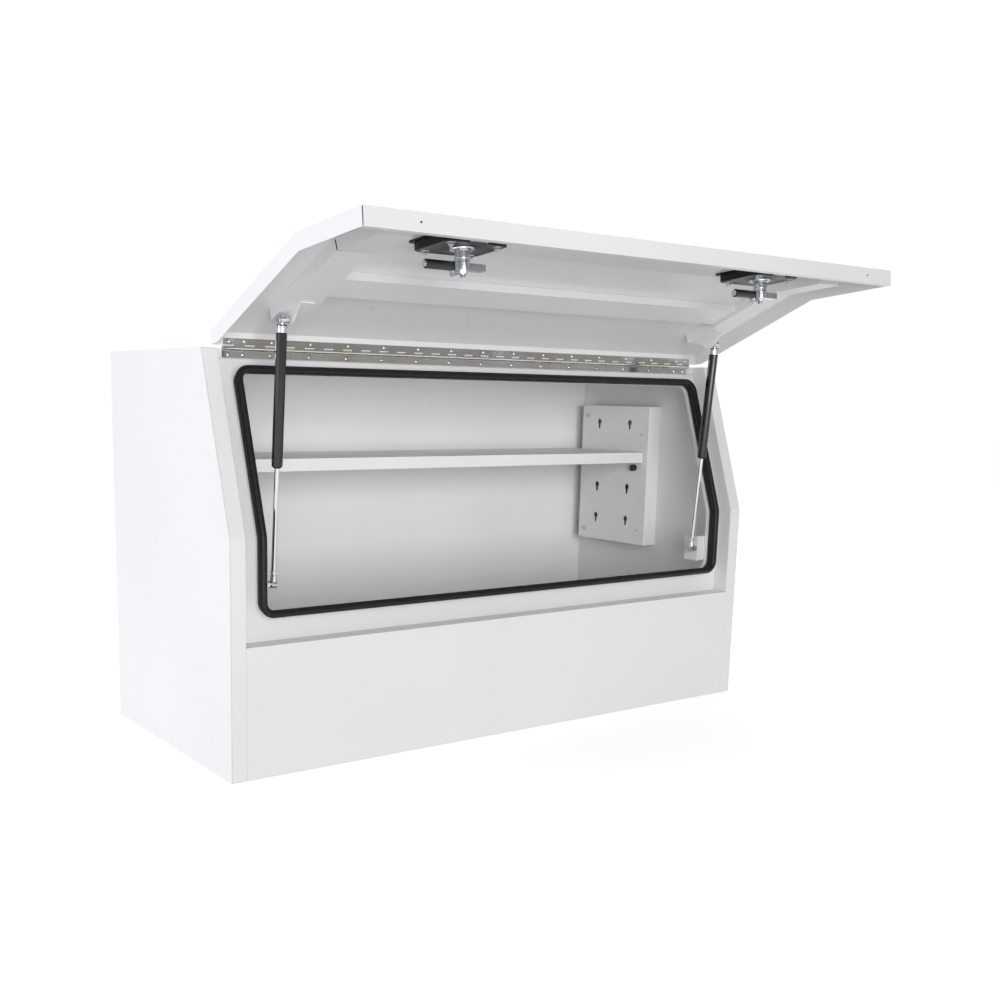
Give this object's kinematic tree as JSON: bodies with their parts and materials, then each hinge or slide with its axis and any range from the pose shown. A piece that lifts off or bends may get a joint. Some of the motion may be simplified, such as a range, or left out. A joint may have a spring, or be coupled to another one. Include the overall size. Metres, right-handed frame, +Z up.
{
  "type": "truck tool box",
  "caption": "Half-open steel truck tool box with sloped front, lift-up cranked door on a piano hinge, gas struts, two compression latches, door seal and hanging shelf.",
  "frame": {"origin": "centre of the underside of the box body", "axes": "+X along the box to the end on the viewer's right when facing the door, -Y out of the front, +Z up; the door is stored open"},
  "size_m": [1.2, 0.8405, 0.8696],
  "materials": {
    "white_powder_coat": "white powder coat with a fine orange-peel texture",
    "white_inner": "white powder coat",
    "seal_rubber": "matte black",
    "latch_rubber": "matte black",
    "stainless": "polished stainless",
    "zinc_plate": "bright zinc plate",
    "latch_zinc": "satin die-cast zinc",
    "strut_black": "gloss black",
    "chrome_rod": "polished",
    "lock_chrome": "polished",
    "black_plastic": "semi-gloss black",
    "black_hardware": "black zinc"
  },
  "bodies": {
    "box_body": {"left_side_panel": "white_powder_coat", "right_side_panel": "white_powder_coat", "back_panel": "white_powder_coat", "floor_panel": "white_powder_coat", "top_panel": "white_powder_coat", "front_panel": "white_powder_coat", "jamb_left": "white_powder_coat", "jamb_right": "white_powder_coat", "opening_frame": "white_powder_coat", "opening_seal": "seal_rubber", "hinge_body_leaf": "stainless", "hinge_pin": "stainless", "shelf": "white_inner", "shelf_bracket_left": "white_inner", "shelf_bracket_right": "white_inner", "shelf_stud_front_left": "black_hardware", "shelf_stud_front_right": "black_hardware", "shelf_stud_rear_left": "black_hardware", "shelf_stud_rear_right": "black_hardware", "shelf_knob_left": "black_hardware", "shelf_knob_right": "black_hardware", "strut_bracket_lower_left": "white_inner", "strut_bracket_lower_right": "white_inner", "strut_stud_lower_left": "zinc_plate", "strut_stud_lower_right": "zinc_plate"},
    "door": {"door_shell": "white_powder_coat", "door_brace_left": "white_inner", "door_brace_right": "white_inner", "door_mid_rail": "white_inner", "hinge_door_leaf": "stainless", "strut_bracket_upper_left": "white_inner", "strut_bracket_upper_right": "white_inner", "strut_stud_upper_left": "zinc_plate", "strut_stud_upper_right": "zinc_plate", "latch_left_pan": "latch_zinc", "latch_left_gasket": "latch_rubber", "latch_left_housing": "latch_zinc", "latch_right_pan": "latch_zinc", "latch_right_gasket": "latch_rubber", "latch_right_housing": "latch_zinc"},
    "strut_tube_left_body": {"strut_tube_end_left": "zinc_plate", "strut_tube_left": "strut_black"},
    "strut_rod_left_body": {"strut_rod_left": "chrome_rod", "strut_rod_end_left": "zinc_plate"},
    "latch_left_turning": {"latch_left_spindle": "latch_zinc", "latch_left_arm": "latch_zinc"},
    "latch_left_roller_body": {"latch_left_roller": "black_plastic"},
    "latch_left_grip": {"latch_left_handle": "latch_zinc"},
    "latch_left_key_barrel": {"latch_left_lock": "lock_chrome"},
    "strut_tube_right_body": {"strut_tube_end_right": "zinc_plate", "strut_tube_right": "strut_black"},
    "strut_rod_right_body": {"strut_rod_right": "chrome_rod", "strut_rod_end_right": "zinc_plate"},
    "latch_right_turning": {"latch_right_spindle": "latch_zinc", "latch_right_arm": "latch_zinc"},
    "latch_right_roller_body": {"latch_right_roller": "black_plastic"},
    "latch_right_grip": {"latch_right_handle": "latch_zinc"},
    "latch_right_key_barrel": {"latch_right_lock": "lock_chrome"}
  },
  "joints": [
    {"name": "door_hinge", "type": "hinge", "parent": "box_body", "child": "door", "pos_m": [0, -0.12605, 0.70065], "axis": [1, 0, 0], "range_deg": [0, 95.5], "stiffness_Nm_per_rad": 16, "springref_deg": -148.97},
    {"name": "strut_pivot_left", "type": "hinge", "parent": "door", "child": "strut_tube_left_body", "pos_m": [-0.501, -0.24167, 0.74413], "axis": [1, 0, 0], "range_deg": [-110.96, 0]},
    {"name": "strut_stroke_left", "type": "slide", "parent": "strut_tube_left_body", "child": "strut_rod_left_body", "axis": [0, 0.0786, -0.9969], "range_m": [-0.1598, 0]},
    {"name": "latch_turn_left", "type": "hinge", "parent": "door", "child": "latch_left_turning", "pos_m": [-0.333, -0.48603, 0.83974], "axis": [0, 0.0958, 0.9954], "range_deg": [0, 90]},
    {"name": "latch_roller_spin_left", "type": "hinge", "parent": "latch_left_turning", "child": "latch_left_roller_body", "pos_m": [-0.376, -0.48823, 0.81685], "axis": [1, 0, 0], "continuous": true},
    {"name": "latch_handle_fold_left", "type": "hinge", "parent": "latch_left_turning", "child": "latch_left_grip", "pos_m": [-0.333, -0.48484, 0.85208], "axis": [1, 0, 0], "range_deg": [0, 80]},
    {"name": "latch_key_turn_left", "type": "hinge", "parent": "latch_left_grip", "child": "latch_left_key_barrel", "pos_m": [-0.333, -0.4594, 0.85024], "axis": [0, 0.0958, 0.9954], "range_deg": [0, 90]},
    {"name": "strut_pivot_right", "type": "hinge", "parent": "door", "child": "strut_tube_right_body", "pos_m": [0.501, -0.24167, 0.74413], "axis": [1, 0, 0], "range_deg": [-110.96, 0]},
    {"name": "strut_stroke_right", "type": "slide", "parent": "strut_tube_right_body", "child": "strut_rod_right_body", "axis": [0, 0.0786, -0.9969], "range_m": [-0.1598, 0]},
    {"name": "latch_turn_right", "type": "hinge", "parent": "door", "child": "latch_right_turning", "pos_m": [0.333, -0.48603, 0.83974], "axis": [0, 0.0958, 0.9954], "range_deg": [0, 90]},
    {"name": "latch_roller_spin_right", "type": "hinge", "parent": "latch_right_turning", "child": "latch_right_roller_body", "pos_m": [0.29, -0.48823, 0.81685], "axis": [1, 0, 0], "continuous": true},
    {"name": "latch_handle_fold_right", "type": "hinge", "parent": "latch_right_turning", "child": "latch_right_grip", "pos_m": [0.333, -0.48484, 0.85208], "axis": [1, 0, 0], "range_deg": [0, 80]},
    {"name": "latch_key_turn_right", "type": "hinge", "parent": "latch_right_grip", "child": "latch_right_key_barrel", "pos_m": [0.333, -0.4594, 0.85024], "axis": [0, 0.0958, 0.9954], "range_deg": [0, 90]}
  ],
  "couplings": [
    {"joint": "strut_pivot_left", "follows": "door_hinge", "ratio": -1.1588},
    {"joint": "strut_stroke_left", "follows": "door_hinge", "m_per_rad": -0.095645},
    {"joint": "strut_pivot_right", "follows": "door_hinge", "ratio": -1.1588},
    {"joint": "strut_stroke_right", "follows": "door_hinge", "m_per_rad": -0.095645}
  ]
}
